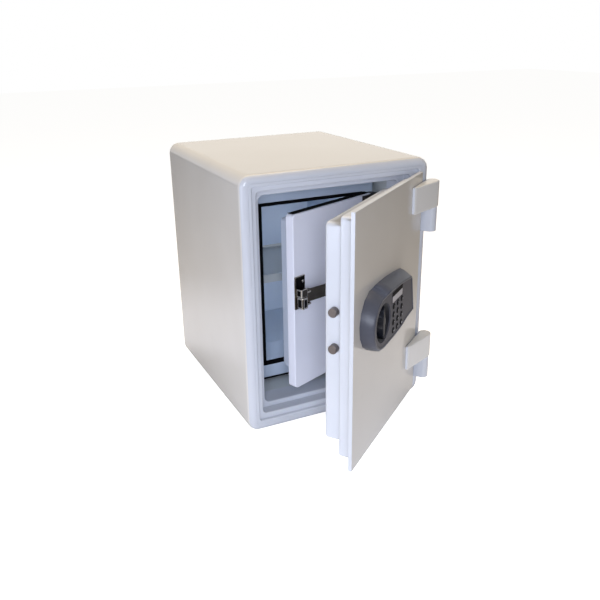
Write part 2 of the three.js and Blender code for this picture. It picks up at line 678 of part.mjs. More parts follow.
// Lock housing: a long egg-shaped bezel, cut off on the right. Outline as points, left end round the knob.
function lockOutline(grow) {
  const endR = LOCK_END_RADIUS + grow;
  const shape = new THREE.Shape();
  const top = { x: LOCK_RIGHT_TOP.x + grow, z: LOCK_RIGHT_TOP.z + grow };
  const low = { x: LOCK_RIGHT_BOTTOM.x + grow, z: LOCK_RIGHT_BOTTOM.z - grow };
  const r = Math.max(7 + grow, 2);
  shape.moveTo(low.x - r, low.z);
  shape.quadraticCurveTo(low.x, low.z, low.x - 2, low.z + r);
  shape.lineTo(top.x + 2, top.z - r);
  shape.quadraticCurveTo(top.x, top.z, top.x - r, top.z + 1);
  shape.quadraticCurveTo(KNOB_X + 70, KNOB_Z + endR + 2, KNOB_X + 8, KNOB_Z + endR);
  shape.absellipse(KNOB_X, KNOB_Z, endR, endR, rad(80), rad(272));
  shape.bezierCurveTo(KNOB_X + 37, KNOB_Z - endR, KNOB_X + 77, low.z - 12, KNOB_X + 102, low.z - 8);
  shape.bezierCurveTo(KNOB_X + 119, low.z - 5, KNOB_X + 135, low.z, low.x - r, low.z);
  return shape;
}

function lockRing(grow, y, shift = 0) {
  const points = lockOutline(grow).extractPoints(4).shape;
  const ring = points.map((p) => [p.x + shift * 0.3, y, p.y + shift]);
  const [first, last] = [ring[0], ring[ring.length - 1]];
  if (Math.hypot(first[0] - last[0], first[2] - last[2]) < 1e-3) ring.pop();
  return ring;
}

const lockBack = FRONT - SEAT;
const lockFront = FRONT - LOCK_RISE;
const faceFront = lockFront + FACE_RECESS;
const faceBack = faceFront + FACE_SHEET;
const lockFloor = lockBack - LOCK_WALL;

function lockHousing() {
  const rings = [
    lockRing(-LOCK_RIM, lockFloor),
    lockRing(-LOCK_RIM, lockFront + 0.3),
    lockRing(-LOCK_RIM + 1, lockFront),
    lockRing(-2.5, lockFront),
    lockRing(-0.8, lockFront + 0.9),
    lockRing(0, lockFront + 3),
    lockRing(LOCK_DRAFT * 0.45, lockFront + 10, 1.5),
    lockRing(LOCK_DRAFT * 0.8, lockFront + 17, 3.2),
    lockRing(LOCK_DRAFT, lockBack, 4.5),
  ];
  const shell = skin(rings, false);
  const well = new THREE.LatheGeometry([
    new THREE.Vector2(KNOB_WELL, lockFloor + 1), new THREE.Vector2(KNOB_WELL, faceBack + SEAT),
    new THREE.Vector2(KNOB_WELL + 1.6, faceBack + SEAT), new THREE.Vector2(KNOB_WELL + 1.6, lockFloor + 1),
    new THREE.Vector2(KNOB_WELL, lockFloor + 1),
  ], 32).translate(KNOB_X, 0, KNOB_Z);
  return { shell, well };
}

function keyPlace(row, column) {
  return { x: KEY_FIRST.x + column * KEY_PITCH_X, z: KEY_FIRST.z - row * KEY_PITCH_Z };
}

const keyNames = [
  ['key_1', 'key_2', 'key_3'], ['key_4', 'key_5', 'key_6'],
  ['key_7', 'key_8', 'key_9'], ['key_clear', 'key_0', 'key_enter'],
];

function displayOutline(grow) {
  const { x, z, width, height } = DISPLAY;
  return roundedRect(x - width / 2 - grow, x + width / 2 + grow, z - height / 2 - grow, z + height / 2 + grow, 2.5);
}

function lockFacePlate() {
  const outline = lockRing(-LOCK_RIM - SEAT, 0).map(([x, , z]) => new THREE.Vector2(x, z));
  const plate = faced(new THREE.Shape(outline), faceFront, faceBack);
  const holes = keyNames.flatMap((names, row) => names.map((_, column) => {
    const { x, z } = keyPlace(row, column);
    return barAlongY(KEY_RADIUS + 0.5, x, z, faceFront - 1, faceBack + 1, 12);
  }));
  const window = faced(displayOutline(SEAT), faceFront - 1, faceBack + 1);
  return cut(plate, ...holes, window, barAlongY(KNOB_WELL, KNOB_X, KNOB_Z, faceFront - 1, faceBack + 1, 32));
}

function keyCap(x, z) {
  const top = faceFront - KEY_RISE;
  const flange = faceBack + SEAT;
  const flangeRadius = KEY_RADIUS + 0.9;
  const end = flange + KEY_FLANGE;
  return turnedAlongY([
    [0, top], [KEY_RADIUS * 0.7, top + 0.3], [KEY_RADIUS, top + 1.2],
    [KEY_RADIUS, flange], [flangeRadius, flange], [flangeRadius, end], [0, end],
  ], x, z, 12);
}

const keyBottom = faceBack + SEAT + KEY_FLANGE;
const boardFront = keyBottom + KEY_TRAVEL + 0.5;

const { shell, well } = lockHousing();
const housingSpindleHole = spindleHole(lockFloor - 1, lockBack + 1);
piece(mainDoor, 'lock_housing', cut(join(shell, well), housingSpindleHole), greyPlastic);
piece(mainDoor, 'lock_face_plate', lockFacePlate(), facePlastic);
piece(mainDoor, 'display_window', faced(displayOutline(0), faceFront + 0.8, faceBack + 0.8), displayGlass);

const boardRight = KEY_FIRST.x + 2 * KEY_PITCH_X + 12;
const board = join(
  block(KEY_FIRST.x - 12, boardRight, boardFront, boardFront + 1.6, KEY_FIRST.z - 3 * KEY_PITCH_Z - 2.5, DISPLAY.z + 4),
  barAlongY(2.5, boardRight - 3, DISPLAY.z - 4, boardFront + 1, lockFloor - SEAT, 12),
  barAlongY(2.5, boardRight - 3, KEY_FIRST.z - 3 * KEY_PITCH_Z + 3, boardFront + 1, lockFloor - SEAT, 12),
);
piece(mainDoor, 'keypad_board', board, boardGreen);

keyNames.forEach((names, row) => names.forEach((name, column) => {
  const { x, z } = keyPlace(row, column);
  piece(mainDoor, name, keyCap(x, z), blackPlastic);
}));

// Battery pack: four cells side by side in a shrink sleeve, standing on the housing's floor
const cellRadius = 5.25;
const firstCellX = LOCK_RIGHT_TOP.x - 38.5;
const cells = [0, 1, 2, 3].map((i) => barAlongZ(cellRadius, firstCellX + i * (2 * cellRadius - 0.3),
  lockFloor - SEAT - cellRadius, LOCK_RIGHT_BOTTOM.z + 10, LOCK_RIGHT_TOP.z - 23, 12));
piece(mainDoor, 'battery_pack', join(...cells), batteryBlue);

// Knob with its grip, and the spindle with its crank
function lockKnob() {
  const back = lockFloor - 2;
  const front = faceFront - 1;
  const dish = turnedAlongY([
    [0, back - 7], [KNOB_RADIUS * 0.7, back - 6], [KNOB_RADIUS - 2, back - 7], [KNOB_RADIUS, back - 5],
    [KNOB_RADIUS, back], [0, back],
  ], KNOB_X, KNOB_Z, 32);
  const grip = new THREE.Shape();
  const half = KNOB_RADIUS - 2;
  grip.moveTo(-half, 0);
  grip.quadraticCurveTo(-half * 0.5, 5, 0, 6.5);
  grip.quadraticCurveTo(half * 0.5, 5, half, 0);
  grip.quadraticCurveTo(half * 0.5, -5, 0, -6.5);
  grip.quadraticCurveTo(-half * 0.5, -5, -half, 0);
  const wing = faced(grip, front, back - 3, 1.4, 1).rotateY(Math.PI / 2);
  wing.translate(KNOB_X, 0, KNOB_Z);
  const hub = barAlongY(11, KNOB_X, KNOB_Z, front + 1.5, back - 3, 24);
  const socket = barAlongY(SPINDLE_RADIUS + SEAT, KNOB_X, KNOB_Z, front + 6, back + 1, 20);
  return cut(join(dish, wing, hub), socket);
}

function knobSpindle() {
  const front = faceFront + 5 + SEAT;
  const crankBack = crankPlaneFront + 4;
  const shaft = barAlongY(SPINDLE_RADIUS, KNOB_X, KNOB_Z, front, crankPlaneFront + 2, 20);
  const start = 90 + KNOB_TURN / 2;
  const pinX = KNOB_X + CRANK_RADIUS * Math.cos(rad(start));
  const pinZ = KNOB_Z + CRANK_RADIUS * Math.sin(rad(start));
  const crank = faced(new THREE.Shape([
    ...arcPoints(KNOB_X, KNOB_Z, SPINDLE_RADIUS + 2.3, start + 100, start + 260, 8),
    ...arcPoints(pinX, pinZ, CRANK_PIN + 1.5, start - 80, start + 80, 6),
  ]), crankPlaneFront, crankBack);
  const pin = barAlongY(CRANK_PIN, pinX, pinZ, crankBack - 1, webBack, 16);
  return join(shaft, crank, pin);
}

piece(mainDoor, 'lock_knob', lockKnob(), blackPlastic);
piece(mainDoor, 'knob_spindle', knobSpindle(), zincSteel);

// Media box
const box = { left: BOX.left, right: BOX.right, bottom: BOX.bottom, top: BOX.top };
const insetsOf = (inner) => [inner.left - BOX.left, BOX.right - inner.right, inner.bottom - BOX.bottom,
  BOX.top - inner.top];
const mouthInset = insetsOf(BOX_MOUTH);
const roomInset = insetsOf(BOX_ROOM);
const throatEnd = BOX.front + THROAT_DEPTH;
const boxBackInside = BOX.back - BOX_SHEET;

function mediaCase() {
  const t = BOX_SHEET;
  return swept(box, [
    { inset: even(t), y: boxBackInside, corner: BOX_CORNER - t },
    { inset: even(t), y: BOX.front + t, corner: BOX_CORNER - t },
    { inset: more(mouthInset, -t), y: BOX.front + t, corner: 7 },
    { inset: more(roomInset, -t), y: throatEnd, corner: 5 },
    { inset: roomInset, y: throatEnd, corner: 4 },
    { inset: mouthInset, y: BOX.front, corner: 6, edge: 1.5 },
    { inset: even(0), y: BOX.front, corner: BOX_CORNER, edge: 2.5 },
    { inset: even(0), y: BOX.back, corner: BOX_CORNER },
  ], false);
}

function mediaLiner() {
  const t = LINER_SHEET;
  const start = throatEnd + SEAT;
  return swept(box, [
    { inset: roomInset, y: ROOM_BACK, corner: 5 },
    { inset: roomInset, y: start, corner: 5 },
    { inset: more(roomInset, -t), y: start, corner: 6 },
    { inset: more(roomInset, -t), y: ROOM_BACK + t, corner: 6 },
  ], false);
}

function mediaInsulation() {
  const t = BOX_SHEET + SEAT;
  const side = more(roomInset, -t - 0.6);
  const tapered = more(mouthInset, -t - 1);
  return swept(box, [
    { inset: side, y: ROOM_BACK + LINER_SHEET + SEAT, corner: 6 },
    { inset: side, y: throatEnd, corner: 6 },
    { inset: tapered, y: BOX.front + t, corner: 7 },
    { inset: even(t), y: BOX.front + t, corner: BOX_CORNER - BOX_SHEET },
    { inset: even(t), y: boxBackInside - SEAT, corner: BOX_CORNER - BOX_SHEET },
  ], false);
}

const gasketBack = BOX.front - SEAT;
const gasketFront = gasketBack - GASKET_RISE;

function mediaGasket() {
  const inner = more(mouthInset, -0.5);
  const outer = inner.map((value, side) => value - GASKET_WIDTH[side]);
  return swept(box, [
    { inset: outer, y: gasketFront, corner: 9, edge: 2 },
    { inset: outer, y: gasketBack, corner: 9 },
    { inset: inner, y: gasketBack, corner: 6 },
    { inset: inner, y: gasketFront, corner: 6 },
  ]);
}

const shelfSide = BOX_ROOM.right - SEAT;
const shelfSheet = 1.5;
const supportTop = SHELF_TOP - shelfSheet - SEAT;

function mediaShelf() {
  const deck = block(-shelfSide, shelfSide, SHELF_FRONT, ROOM_BACK - 1, SHELF_TOP - shelfSheet, SHELF_TOP);
  const lip = block(-shelfSide, shelfSide, SHELF_FRONT, SHELF_FRONT + shelfSheet, SHELF_TOP - SHELF_LIP, SHELF_TOP);
  const rear = block(-shelfSide, shelfSide, ROOM_BACK - 1 - shelfSheet, ROOM_BACK - 1, SHELF_TOP, SHELF_TOP + 8);
  return join(deck, lip, rear);
}

function shelfSupport(side) {
  const wall = side * (BOX_ROOM.right - SEAT);
  const inward = wall - side * 10;
  const upright = block(Math.min(wall, wall - side * 1.5), Math.max(wall, wall - side * 1.5),
    SHELF_FRONT + 8, ROOM_BACK - 12, supportTop - 16, supportTop);
  const ledge = block(Math.min(wall, inward), Math.max(wall, inward),
    SHELF_FRONT + 8, ROOM_BACK - 12, supportTop - 1.5, supportTop);
  return join(upright, ledge);
}

piece(safe, 'media_case', mediaCase(), boxPaint);
piece(safe, 'media_insulation', mediaInsulation(), mineralFill);
piece(safe, 'media_liner', mediaLiner(), boxPaint);
piece(safe, 'media_gasket', mediaGasket(), blackRubber);
piece(safe, 'media_shelf', mediaShelf(), linerPaint);
piece(safe, 'shelf_support_left', shelfSupport(-1), boxPaint);
piece(safe, 'shelf_support_right', shelfSupport(1), boxPaint);

const cavityFloor = PLUG_STEP[2];
piece(safe, 'box_pad', block(BOX.left + 12, BOX.right - 12, BOX.front + 14, BOX.back - 14,
  cavityFloor + SEAT, BOX.bottom - SEAT), blackRubber);

// Hinge brackets of the media box: a foot on the case, a barrel and the pin in one piece
function boxHingeBracket(z) {
  const low = z - SEAT - BOX_HINGE_HEIGHT;
  const high = z - SEAT;
  const foot = block(BOX_HINGE_X - 9, BOX.right - 1.5, BOX.front - SEAT - 3, BOX.front - SEAT, low - 4, high);
  const web = block(BOX_HINGE_X - 3, BOX_HINGE_X + BOX_BARREL, BOX_HINGE_Y, BOX.front - SEAT - 1, low, high);
  const barrel = barAlongZ(BOX_BARREL, BOX_HINGE_X, BOX_HINGE_Y, low, high);
  const pin = barAlongZ(2.5, BOX_HINGE_X, BOX_HINGE_Y, high - 1, high + BOX_HINGE_HEIGHT - 2, 20);
  return join(foot, web, barrel, pin);
}

const boxDoorFront = gasketFront - SEAT - BOX_DOOR_FLANGE;

function boxHingeLeaf(z) {
  const front = boxDoorFront - SEAT - 3.5;
  const high = z + BOX_HINGE_HEIGHT;
  const strap = block(BOX_HINGE_X - 41.5, BOX_HINGE_X + BOX_BARREL, front, boxDoorFront - SEAT, z, high);
  const neck = block(BOX_HINGE_X - BOX_BARREL, BOX_HINGE_X + BOX_BARREL, front, BOX_HINGE_Y, z, high);
  const barrel = barAlongZ(BOX_BARREL, BOX_HINGE_X, BOX_HINGE_Y, z, high);
  const bore = barAlongZ(2.5 + SEAT, BOX_HINGE_X, BOX_HINGE_Y, z - 1, high - 1.5, 20);
  return cut(join(strap, neck, barrel), bore);
}

// Media box door
const boxDoor = swinging(BOX_HINGE_X, BOX_HINGE_Y, BOX_DOOR_OPEN);
for (const [name, z] of Object.entries(BOX_HINGE_Z)) {
  piece(safe, `media_hinge_bracket_${name}`, boxHingeBracket(z), darkSteel);
  piece(boxDoor, `media_hinge_leaf_${name}`, boxHingeLeaf(z), darkSteel);
}

const flangeBack = gasketFront - SEAT;
const plugTaper = 5.5;

function mediaDoorPanel() {
  return swept(BOX_DOOR, [
    { inset: even(8), y: boxDoorFront, corner: 2 },
    { inset: even(0), y: boxDoorFront, corner: BOX_DOOR_CORNER, edge: 1.8 },
    { inset: even(0), y: flangeBack, corner: BOX_DOOR_CORNER, edge: 1 },
    { inset: even(8), y: flangeBack, corner: 2 },
  ], false);
}

const plugStart = flangeBack + SEAT;
const plugBase = {
  left: BOX_MOUTH.left + BOX_PLUG_GAP[0], right: BOX_MOUTH.right - BOX_PLUG_GAP[1],
  bottom: BOX_MOUTH.bottom + BOX_PLUG_GAP[2], top: BOX_MOUTH.top - BOX_PLUG_GAP[3],
};

function mediaDoorPlug() {
  return swept(plugBase, [
    { inset: even(4), y: plugStart, corner: 3 },
    { inset: even(0), y: plugStart, corner: 7 },
    { inset: even(plugTaper), y: plugStart + BOX_DOOR_PLUG, corner: 7, edge: 3 },
    { inset: even(plugTaper + 8), y: plugStart + BOX_DOOR_PLUG, corner: 1 },
  ], false);
}

function mediaDoorSeal() {
  const inner = even(-SEAT);
  const outer = even(-SEAT - 2.8);
  return swept(plugBase, [
    { inset: outer, y: plugStart, corner: 9 },
    { inset: outer, y: plugStart + 3, corner: 9 },
    { inset: inner, y: plugStart + 3, corner: 7 },
    { inset: inner, y: plugStart, corner: 7 },
  ]);
}

piece(boxDoor, 'media_door_panel', mediaDoorPanel(), boxPaint);
piece(boxDoor, 'media_door_plug', mediaDoorPlug(), boxPaint);
piece(boxDoor, 'media_door_seal', mediaDoorSeal(), blackRubber);

// Latch: a cast body with two rounded lugs on a screwed plate, and a lever that is pulled outwards
function latchBody() {
  const back = boxDoorFront - SEAT;
  const front = back - LATCH.plate;
  const half = LATCH.width / 2;
  const low = LATCH.z - LATCH.height / 2;
  const plate = faced(roundedRect(LATCH.x - half, LATCH.x + half - 8, low, low + LATCH.height, 4), front, back, 0.6, 1);
  const lug = new THREE.Shape();
  const lugBottom = LATCH.z - LEVER_HEIGHT / 2 - 12;
  const lugTop = LATCH.z + LEVER_HEIGHT / 2 + 6;
  const lugFront = back - LATCH_PIVOT.rise - 8;
  lug.moveTo(back - 1, lugTop + 4);
  lug.lineTo(lugFront + 6, lugTop);
  lug.quadraticCurveTo(lugFront, lugTop - 2, lugFront, lugTop - 8);
  lug.lineTo(lugFront + 4, LATCH.z - LEVER_HEIGHT / 2 - 1);
  lug.absarc(lugFront + 10, lugBottom, 8, Math.PI, 1.5 * Math.PI);
  lug.lineTo(back - 1, lugBottom - 8);
  const lugs = [LATCH.x - 14, LATCH.x - 3].map((x) => raised(lug, x, x + 4, 0.8, 1, 3)
    .rotateX(Math.PI / 2).rotateZ(Math.PI / 2));
  const bridge = block(LATCH.x - 13, LATCH.x + 0.5, front - 6, front + 1, LATCH.z + 14, LATCH.z + 18);
  const pivotX = LATCH_PIVOT.x;
  const ears = [LATCH.z + LEVER_HEIGHT / 2 + SEAT, LATCH.z - LEVER_HEIGHT / 2 - SEAT - 4].map((z) => join(
    barAlongZ(5, pivotX, back - LATCH_PIVOT.rise, z, z + 4),
    block(pivotX - 9, pivotX + 5, back - LATCH_PIVOT.rise, back - 1, z, z + 4),
  ));
  return join(plate, ...lugs, bridge, ...ears);
}

function latchLever() {
  const pivotX = LATCH_PIVOT.x;
  const pivotY = boxDoorFront - SEAT - LATCH_PIVOT.rise;
  const low = LATCH.z - LEVER_HEIGHT / 2;
  const high = LATCH.z + LEVER_HEIGHT / 2;
  const plan = new THREE.Shape();
  const lean = Math.tan(rad(LEVER_LEAN));
  const end = pivotX + LEVER_REACH;
  plan.moveTo(pivotX, pivotY - 3);
  plan.lineTo(pivotX + 6, pivotY - 4);
  plan.lineTo(end - 3, pivotY - 4 - (LEVER_REACH - 6) * lean);
  plan.quadraticCurveTo(end, pivotY - 4 - LEVER_REACH * lean, end, pivotY - 1 - LEVER_REACH * lean);
  plan.lineTo(pivotX + 6, pivotY - 4 + LEVER_SHEET);
  plan.lineTo(pivotX, pivotY + 3);
  const paddle = raised(plan, low, high, 0.6, 1);
  const barrel = barAlongZ(4.5, pivotX, pivotY, low, high);
  return join(paddle, barrel);
}

piece(boxDoor, 'latch_body', latchBody(), nickel);
piece(boxDoor, 'latch_lever', latchLever(), nickel);

const keeperX = BOX_DOOR.left - 3;
const keeperFoot = faced(roundedRect(BOX.left + 3, keeperX, LATCH.z - 20, LATCH.z + 20, 2),
  BOX.front - SEAT - 2.5, BOX.front - SEAT);
const keeperHook = faced(roundedRect(keeperX - 8, keeperX, LATCH.z - 12, LATCH.z + 12, 2),
  BOX.front - SEAT - 18, BOX.front - SEAT - 1);
piece(safe, 'latch_keeper', join(keeperFoot, keeperHook), zincSteel);

export default safe;
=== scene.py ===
import json
from math import radians

import bmesh
import bpy
from mathutils import Matrix, Vector

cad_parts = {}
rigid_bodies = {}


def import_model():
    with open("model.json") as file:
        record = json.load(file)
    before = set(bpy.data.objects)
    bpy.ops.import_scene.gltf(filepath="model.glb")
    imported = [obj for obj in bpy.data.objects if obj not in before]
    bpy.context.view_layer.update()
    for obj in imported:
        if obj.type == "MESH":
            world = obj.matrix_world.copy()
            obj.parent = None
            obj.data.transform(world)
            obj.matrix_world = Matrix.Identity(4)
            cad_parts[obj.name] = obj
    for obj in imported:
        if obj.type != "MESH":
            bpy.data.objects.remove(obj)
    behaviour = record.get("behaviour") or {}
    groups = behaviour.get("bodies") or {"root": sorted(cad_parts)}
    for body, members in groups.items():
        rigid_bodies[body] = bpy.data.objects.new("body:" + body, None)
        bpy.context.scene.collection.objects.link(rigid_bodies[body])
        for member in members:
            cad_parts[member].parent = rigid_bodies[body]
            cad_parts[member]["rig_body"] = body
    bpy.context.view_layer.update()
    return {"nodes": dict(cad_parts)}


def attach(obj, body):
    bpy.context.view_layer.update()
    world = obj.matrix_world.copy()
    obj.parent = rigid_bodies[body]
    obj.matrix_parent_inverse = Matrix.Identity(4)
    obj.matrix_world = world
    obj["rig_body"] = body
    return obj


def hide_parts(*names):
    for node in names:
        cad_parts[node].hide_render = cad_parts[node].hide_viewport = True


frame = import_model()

scene = bpy.context.scene

# Room and camera. The safe stands on a pale floor in front of a white background.
# The camera has the photograph's place, turn and 42.5 mm view, for a 600 x 600 picture.
camera = bpy.data.objects.new("camera", bpy.data.cameras.new("camera"))
scene.collection.objects.link(camera)
camera.data.sensor_width = 36
camera.data.lens = 42.507
camera.data.clip_start = 0.05
right, up, back = (0.90054, -0.43458, -0.01304), (0.16737, 0.31882, 0.93292), (-0.40127, -0.84232, 0.35985)
turned = Matrix((right, up, back)).transposed().to_4x4()
camera.matrix_world = Matrix.Translation((-0.6396, -1.3822, 0.76341)) @ turned
scene.camera = camera
scene.view_settings.view_transform = "Standard"


def colour(code):
    """An sRGB hex value as linear RGBA."""
    parts = [int(code[i:i + 2], 16) / 255 for i in (1, 3, 5)]
    return tuple(c / 12.92 if c <= 0.04045 else ((c + 0.055) / 1.055) ** 2.4 for c in parts) + (1.0,)


def put(tree, kind, values=None, links=None, **settings):
    """Adds a node with its settings, the values of its sockets and the links into them."""
    node = tree.nodes.new(kind)
    for name, value in settings.items():
        setattr(node, name, value)
    for socket, value in (values or {}).items():
        node.inputs[socket].default_value = value
    for socket, source in (links or {}).items():
        tree.links.new(source, node.inputs[socket])
    return node


def blank(name):
    """A new material with an empty node tree."""
    material = bpy.data.materials.new(name)
    material.use_nodes = True
    material.node_tree.nodes.clear()
    return material, material.node_tree


# The world is white where it is seen, also in gloss and glass, and lights the safe faintly.
world = bpy.data.worlds.new("room")
world.use_nodes = True
scene.world = world
tree = world.node_tree
tree.nodes.clear()
path = put(tree, "ShaderNodeLightPath")
seen = put(tree, "ShaderNodeMath", links={0: path.outputs["Is Camera Ray"], 1: path.outputs["Is Glossy Ray"]},
           operation="MAXIMUM")
seen = put(tree, "ShaderNodeMath", links={0: seen.outputs[0], 1: path.outputs["Is Transmission Ray"]},
           operation="MAXIMUM")
ambient = put(tree, "ShaderNodeBackground", {"Color": colour("#f3efe7"), "Strength": 0.15})
white = put(tree, "ShaderNodeBackground", {"Color": (1, 1, 1, 1), "Strength": 1.0})
either = put(tree, "ShaderNodeMixShader",
             links={0: seen.outputs[0], 1: ambient.outputs[0], 2: white.outputs[0]})
put(tree, "ShaderNodeOutputWorld", links={"Surface": either.outputs[0]})

# White paper, matt and even. The camera sees it near white but for the safe's shadow, and the safe
# sees it bright in a ring round its foot, as paper under studio lamps is.
floor_half, floor_top, bright_radius = 9, -0.0006, 0.9
mesh = bpy.data.meshes.new("floor")
bm = bmesh.new()
bmesh.ops.create_grid(bm, x_segments=1, y_segments=1, size=floor_half)
bm.to_mesh(mesh)
bm.free()
mesh.transform(Matrix.Translation((0, 0, floor_top)))
floor = bpy.data.objects.new("floor", mesh)
scene.collection.objects.link(floor)
paper, tree = blank("white studio paper")
path = put(tree, "ShaderNodeLightPath")
matt = put(tree, "ShaderNodeBsdfDiffuse", {"Color": colour("#f4f3f1")})
place = put(tree, "ShaderNodeMapping", {"Scale": (1 / bright_radius, 1 / bright_radius, 1)},
            {"Vector": put(tree, "ShaderNodeTexCoord").outputs["Object"]})
inward = put(tree, "ShaderNodeTexGradient", links={"Vector": place.outputs[0]}, gradient_type="SPHERICAL")
ring = put(tree, "ShaderNodeValToRGB", links={"Fac": inward.outputs["Fac"]})
for stop, level in ((0.4, 0.6), (0.6, 0.6), (0.7, 0.0)):
    ring.color_ramp.elements.new(stop).color = (level, level, level, 1)
ring.color_ramp.elements[-1].color = (0, 0, 0, 1)
near = put(tree, "ShaderNodeEmission", {"Color": colour("#eef2ff")}, {"Strength": ring.outputs["Color"]})
sheet = put(tree, "ShaderNodeAddShader", links={0: matt.outputs[0], 1: near.outputs[0]})
glow = put(tree, "ShaderNodeEmission", {"Color": (1, 1, 1, 1), "Strength": 0.86})
lit = put(tree, "ShaderNodeAddShader", links={0: matt.outputs[0], 1: glow.outputs[0]})
either = put(tree, "ShaderNodeMixShader",
             links={0: path.outputs["Is Camera Ray"], 1: sheet.outputs[0], 2: lit.outputs[0]})
put(tree, "ShaderNodeOutputMaterial", links={"Surface": either.outputs[0]})
floor.data.materials.append(paper)

# Lamps: a cool one by the camera, a cool one low on the left, a warm one overhead, and a small one
# that fills the media box. Each has its place, what it points at, its size, power and tint.
safe_middle = (0, 0, 0.26)
for name, place, aim, size, power, tint in [
    ("camera_softbox", (-0.8, -1.7, 0.8), safe_middle, (0.6, 0.6), 16, "#e6edff"),
    ("left_softbox", (-1.6, -0.8, 0.2), safe_middle, (0.9, 0.9), 7, "#e6ecff"),
    ("top_softbox", (0.1, 0.3, 2.1), safe_middle, (1.5, 1.5), 22, "#ffe7c3"),
    ("lamp_in_the_box", (0.088, -0.075, 0.262), (-0.03, 0.12, 0.262), (0.012, 0.3), 0.13, "#f4f7ff"),
]:
    lamp = bpy.data.objects.new(name, bpy.data.lights.new(name, "AREA"))
    lamp.data.shape = "RECTANGLE"
    lamp.data.size, lamp.data.size_y = size
    lamp.data.energy = power
    lamp.data.color = colour(tint)[:3]
    lamp.location = place
    lamp.rotation_mode = "QUATERNION"
    lamp.rotation_quaternion = (Vector(aim) - Vector(place)).to_track_quat("-Z", "Y")
    lamp.visible_camera = False
    scene.collection.objects.link(lamp)

# Cabinet shell. The outer case and its rear cover are drawn sheet steel, the stepped frame in the
# mouth is welded in, and all of it is sprayed white and baked to a gloss with a faint orange peel.


def smooth(piece, crease):
    """Smooth shading with sharp creases, and flat faces that stay flat up to a crease of 50 degrees."""
    piece.data.shade_smooth()
    piece.data.set_sharp_from_angle(angle=radians(crease))
    if crease < 50:
        piece.modifiers.new("flat faces", "WEIGHTED_NORMAL").keep_sharp = True


def new_piece(name, bm, body, material, crease=40):
    """A finished bmesh as a piece that rides on a body."""
    mesh = bpy.data.meshes.new(name)
    bm.to_mesh(mesh)
    bm.free()
    piece = bpy.data.objects.new(name, mesh)
    scene.collection.objects.link(piece)
    mesh.materials.append(material)
    smooth(piece, crease)
    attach(piece, body)
    return piece


def body_of(node):
    """The body that a CAD node rides on."""
    return frame["nodes"][node]["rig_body"]


def sprayed(node, material, crease=40, second=None, part=None):
    """A merged copy of a CAD node with smooth shading, which stands for the node. The faces that
    the test in part picks get the second material."""
    bm = bmesh.new()
    bm.from_mesh(frame["nodes"][node].data)
    bmesh.ops.remove_doubles(bm, verts=bm.verts, dist=0.00001)
    bmesh.ops.dissolve_limit(bm, angle_limit=radians(0.5), verts=bm.verts, edges=bm.edges)
    if part:
        for face in bm.faces:
            face.material_index = int(part(face))
    piece = new_piece(f"{node}_finished", bm, body_of(node), material, crease)
    if second:
        piece.data.materials.append(second)
    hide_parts(node)


def repaint(node, material):
    """A CAD node that stays as it is, with its real finish."""
    slots = frame["nodes"][node].data.materials
    slots.clear()
    slots.append(material)


def enamel(name, main, second, roughness):
    """Baked enamel on sheet steel: an even coat with a faint orange peel, drawn at 5 mm instead of
    its real 2 mm so that it shows, and slow changes of tone where the coat is thicker."""
    material, tree = blank(name)
    place = put(tree, "ShaderNodeTexCoord").outputs["Object"]
    slow = put(tree, "ShaderNodeTexNoise", {"Scale": 1 / 0.11, "Detail": 2.0, "Roughness": 0.5}, {"Vector": place})
    tone = put(tree, "ShaderNodeMix", {6: colour(main), 7: colour(second)}, {0: slow.outputs["Fac"]},
               data_type="RGBA")
    peel = put(tree, "ShaderNodeTexNoise", {"Scale": 1 / 0.005, "Detail": 1.0}, {"Vector": place})
    bump = put(tree, "ShaderNodeBump", {"Strength": 0.05, "Distance": 0.0001}, {"Height": peel.outputs["Fac"]})
    sheen = put(tree, "ShaderNodeMapRange", {"To Min": roughness - 0.03, "To Max": roughness + 0.05},
                {"Value": slow.outputs["Fac"]})
    paint = put(tree, "ShaderNodeBsdfPrincipled", {"IOR": 1.5},
                {"Base Color": tone.outputs[2], "Roughness": sheen.outputs[0], "Normal": bump.outputs[0]})
    put(tree, "ShaderNodeOutputMaterial", links={"Surface": paint.outputs[0]})
    return material


# The case's coat is glossy and warm. The frame and the rounding in front of the case have the same white coat,
# painted cooler here as painted cool light falling on the front.
case_enamel = enamel("baked white enamel on sheet steel", "#e6e5e2", "#dedcd8", 0.13)
cool_front_light_enamel = enamel("white enamel painted cool as front light", "#d4d8e0", "#cdd1d9", 0.15)
case_rounding_back = -0.209
sprayed("outer_case", case_enamel, second=cool_front_light_enamel,
        part=lambda face: face.calc_center_median().y < case_rounding_back and face.normal.y < -0.35)
sprayed("rear_cover", case_enamel)
sprayed("front_frame", cool_front_light_enamel)

# Cabinet inside. The cavity liner is thin sheet in satin grey-white, the keeper behind the left jamb
# is zinc-plated channel, and the walls are filled with a cast gypsum mix that stays hidden.
liner_enamel = enamel("satin grey-white enamel on sheet steel", "#c6cac9", "#bbc0c0", 0.3)
sprayed("cavity_liner", liner_enamel)


